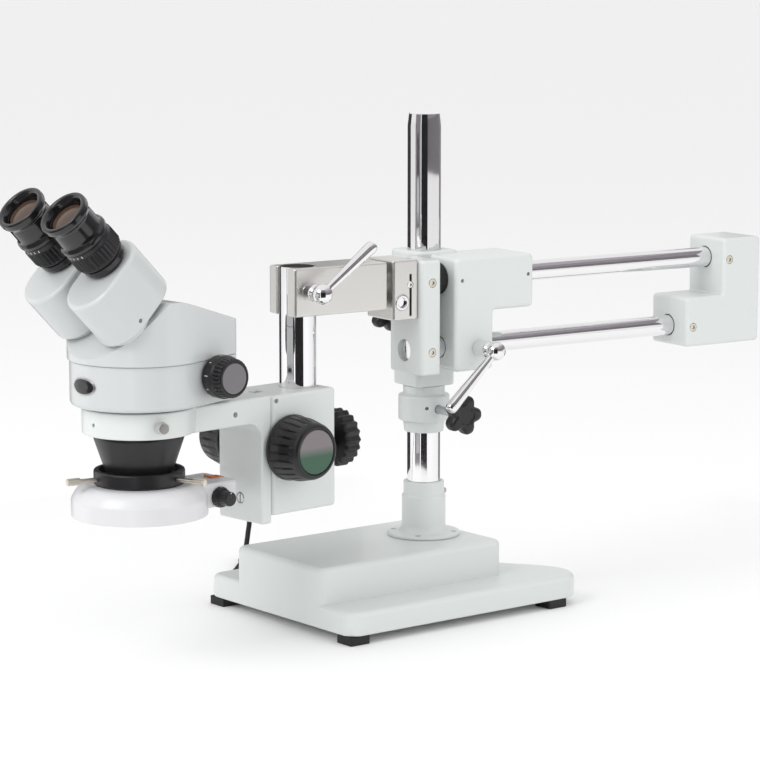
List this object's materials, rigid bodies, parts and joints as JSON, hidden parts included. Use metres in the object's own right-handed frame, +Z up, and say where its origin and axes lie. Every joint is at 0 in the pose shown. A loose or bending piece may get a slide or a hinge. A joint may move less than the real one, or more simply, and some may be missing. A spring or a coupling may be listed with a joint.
{
  "type": "stereo microscope on boom stand",
  "caption": "Binocular stereo zoom microscope with ring light, held by a double-arm boom stand on a heavy slab base.",
  "frame": {"origin": "on the table, under the middle of the microscope's bounding box (the free cords left out)", "axes": "+X along the boom, away from the eyepieces; +Y to the side away from the clamp levers; +Z up"},
  "size_m": [0.8328, 0.407, 0.469],
  "materials": {
    "base_iron": "light grey semi-gloss stove enamel",
    "stand_paint": "light grey semi-gloss enamel",
    "head_paint": "pearl grey smooth enamel",
    "chrome": "mirror chrome plate",
    "nickel": "satin nickel plate",
    "steel": "ground steel",
    "brass": "turned brass, nickel washed",
    "gloss_black": "glossy black",
    "black_plastic": "satin black",
    "rubber": "matt black rubber",
    "cord": "matt black cord jacket",
    "white_plastic": "smooth white plastic",
    "amber_plastic": "translucent orange",
    "lens": "coated optical glass, warm reflection"
  },
  "bodies": {
    "stand": {"base_casting": "base_iron", "foot_front_near": "rubber", "foot_front_far": "rubber", "foot_rear_near": "rubber", "foot_rear_far": "rubber", "pillar_socket": "stand_paint", "pillar": "chrome", "supply_socket": "rubber", "supply_lead": "cord", "supply_coil": "cord", "mains_adapter": "black_plastic"},
    "collar": {"safety_collar": "stand_paint"},
    "collar_knob": {"collar_lock_knob": "black_plastic"},
    "carriage": {"carriage": "stand_paint"},
    "arm_lever": {"arm_clamp_lever": "chrome"},
    "boom": {"arm_upper": "chrome", "arm_lower": "chrome", "arm_bumper": "rubber", "front_block": "stand_paint", "rear_block": "stand_paint", "tilt_mount": "nickel"},
    "tilt_knob": {"tilt_lock_knob": "black_plastic"},
    "bracket": {"post_bracket": "nickel"},
    "post_lever": {"post_clamp_lever": "chrome"},
    "post": {"drop_post": "chrome"},
    "focus_block": {"focus_housing": "head_paint"},
    "post_knob": {"post_lock_knob": "black_plastic"},
    "focus_drive": {"pinion_shaft": "steel", "focus_knob_near": "black_plastic", "focus_knob_far": "black_plastic"},
    "focus_carrier": {"focus_arm": "head_paint", "focus_rack": "brass"},
    "thumb_screw": {"ring_thumb_screw": "chrome"},
    "head": {"head_lower_shell": "head_paint", "head_upper_shell": "head_paint", "head_badge": "gloss_black", "objective_housing": "gloss_black", "objective_lens": "lens", "ring_light_housing": "white_plastic", "led_board": "white_plastic", "ring_light_collar": "gloss_black", "lead_gland": "rubber", "light_lead": "cord", "light_plug": "rubber"},
    "zoom": {"zoom_shaft": "steel", "zoom_knob_near": "black_plastic", "zoom_knob_far": "black_plastic"},
    "tube_near": {"tube_housing_near": "head_paint", "eyepiece_near": "gloss_black", "eye_lens_near": "lens"},
    "tube_far": {"tube_housing_far": "head_paint", "eyepiece_far": "gloss_black", "eye_lens_far": "lens"},
    "diopter_near": {"diopter_ring_near": "rubber"},
    "diopter_far": {"diopter_ring_far": "rubber"},
    "dimmer": {"dimmer_knob": "black_plastic"},
    "rocker": {"rocker_switch": "amber_plastic"},
    "light_screw_a": {"light_clamp_screw_a": "brass"},
    "light_screw_b": {"light_clamp_screw_b": "brass"},
    "light_screw_c": {"light_clamp_screw_c": "brass"}
  },
  "joints": [
    {"name": "collar_height", "type": "slide", "parent": "stand", "child": "collar", "axis": [0, 0, 1], "range_m": [-0.045, 0.11], "deforming": ["light_lead", "light_plug"]},
    {"name": "collar_knob_turn", "type": "hinge", "parent": "collar", "child": "collar_knob", "pos_m": [0.05636, -0.02712, 0.1885], "axis": [0, 1, 0], "range_deg": [-180, 180]},
    {"name": "boom_swing", "type": "hinge", "parent": "collar", "child": "carriage", "pos_m": [0.05636, 0.01288, 0.285], "axis": [0, 0, 1], "range_deg": [-120, 120], "deforming": ["light_lead", "light_plug"]},
    {"name": "arm_lever_turn", "type": "hinge", "parent": "carriage", "child": "arm_lever", "pos_m": [0.07236, -0.04712, 0.2515], "axis": [0, 1, 0], "range_deg": [-40, 60]},
    {"name": "boom_reach", "type": "slide", "parent": "carriage", "child": "boom", "axis": [1, 0, 0], "range_m": [-0.232, 0], "deforming": ["light_lead", "light_plug"]},
    {"name": "tilt_knob_turn", "type": "hinge", "parent": "boom", "child": "tilt_knob", "pos_m": [0.01316, -0.00712, 0.282], "axis": [0, 1, 0], "range_deg": [-180, 180]},
    {"name": "bracket_tilt", "type": "hinge", "parent": "boom", "child": "bracket", "pos_m": [-0.00364, -0.02912, 0.3166], "axis": [1, 0, 0], "range_deg": [-45, 45], "deforming": ["light_lead", "light_plug"]},
    {"name": "post_lever_turn", "type": "hinge", "parent": "bracket", "child": "post_lever", "pos_m": [-0.11264, -0.04912, 0.3166], "axis": [0, 1, 0], "range_deg": [-40, 60]},
    {"name": "post_height", "type": "slide", "parent": "bracket", "child": "post", "axis": [0, 0, 1], "range_m": [0, 0.06], "deforming": ["light_lead", "light_plug"]},
    {"name": "head_swing", "type": "hinge", "parent": "post", "child": "focus_block", "pos_m": [-0.11264, -0.02912, 0.19], "axis": [0, 0, -1], "range_deg": [-80, 80], "deforming": ["light_lead", "light_plug"]},
    {"name": "post_knob_turn", "type": "hinge", "parent": "focus_block", "child": "post_knob", "pos_m": [-0.07314, -0.02286, 0.1755], "axis": [0.9877, 0.1564, 0], "range_deg": [-180, 180]},
    {"name": "focus_turn", "type": "hinge", "parent": "focus_block", "child": "focus_drive", "pos_m": [-0.15018, -0.03506, 0.1805], "axis": [-0.1564, 0.9877, 0], "range_deg": [-180, 180]},
    {"name": "focus_travel", "type": "slide", "parent": "focus_block", "child": "focus_carrier", "axis": [0, 0, 1], "range_m": [-0.025, 0.025], "deforming": ["light_lead", "light_plug"]},
    {"name": "thumb_screw_turn", "type": "hinge", "parent": "focus_carrier", "child": "thumb_screw", "pos_m": [-0.30319, -0.10744, 0.2195], "axis": [-0.1564, -0.9877, 0], "range_deg": [-180, 180]},
    {"name": "head_turn", "type": "hinge", "parent": "focus_carrier", "child": "head", "pos_m": [-0.29537, -0.05806, 0.22], "axis": [0, 0, 1], "range_deg": [-170, 170], "deforming": ["light_lead", "light_plug"]},
    {"name": "zoom_turn", "type": "hinge", "parent": "head", "child": "zoom", "pos_m": [-0.25191, -0.05117, 0.2585], "axis": [-0.1564, 0.9877, 0], "range_deg": [-135, 135]},
    {"name": "tube_far_swing", "type": "hinge", "parent": "head", "child": "tube_far", "pos_m": [-0.37262, -0.03992, 0.34653], "axis": [-0.6984, -0.1106, 0.7071], "range_deg": [-7, 15]},
    {"name": "tube_near_swing", "type": "hinge", "parent": "head", "child": "tube_near", "pos_m": [-0.36324, -0.09918, 0.34653], "axis": [-0.6984, -0.1106, 0.7071], "range_deg": [-15, 7]},
    {"name": "diopter_near_turn", "type": "hinge", "parent": "tube_near", "child": "diopter_near", "pos_m": [-0.34648, -0.09653, 0.3635], "axis": [-0.6984, -0.1106, 0.7071], "range_deg": [-150, 150]},
    {"name": "diopter_far_turn", "type": "hinge", "parent": "tube_far", "child": "diopter_far", "pos_m": [-0.35586, -0.03727, 0.3635], "axis": [-0.6984, -0.1106, 0.7071], "range_deg": [-150, 150]},
    {"name": "dimmer_turn", "type": "hinge", "parent": "head", "child": "dimmer", "pos_m": [-0.22104, -0.07666, 0.144], "axis": [-0.1564, 0.9877, 0], "range_deg": [-135, 135]},
    {"name": "rocker_tip", "type": "hinge", "parent": "head", "child": "rocker", "pos_m": [-0.21181, -0.04482, 0.1562], "axis": [0.1564, -0.9877, 0], "range_deg": [0, 14]},
    {"name": "light_screw_a_turn", "type": "hinge", "parent": "head", "child": "light_screw_a", "pos_m": [-0.34524, -0.05457, 0.169], "axis": [-0.9976, 0.0698, 0], "range_deg": [-180, 180]},
    {"name": "light_screw_b_turn", "type": "hinge", "parent": "head", "child": "light_screw_b", "pos_m": [-0.27345, -0.103, 0.169], "axis": [0.4384, -0.8988, 0], "range_deg": [-180, 180]},
    {"name": "light_screw_c_turn", "type": "hinge", "parent": "head", "child": "light_screw_c", "pos_m": [-0.26741, -0.01661, 0.169], "axis": [0.5592, 0.829, 0], "range_deg": [-180, 180]}
  ],
  "couplings": [
    {"joint": "focus_turn", "follows": "focus_travel", "rad_per_m": 125},
    {"joint": "tube_far_swing", "follows": "tube_near_swing", "ratio": -1}
  ]
}
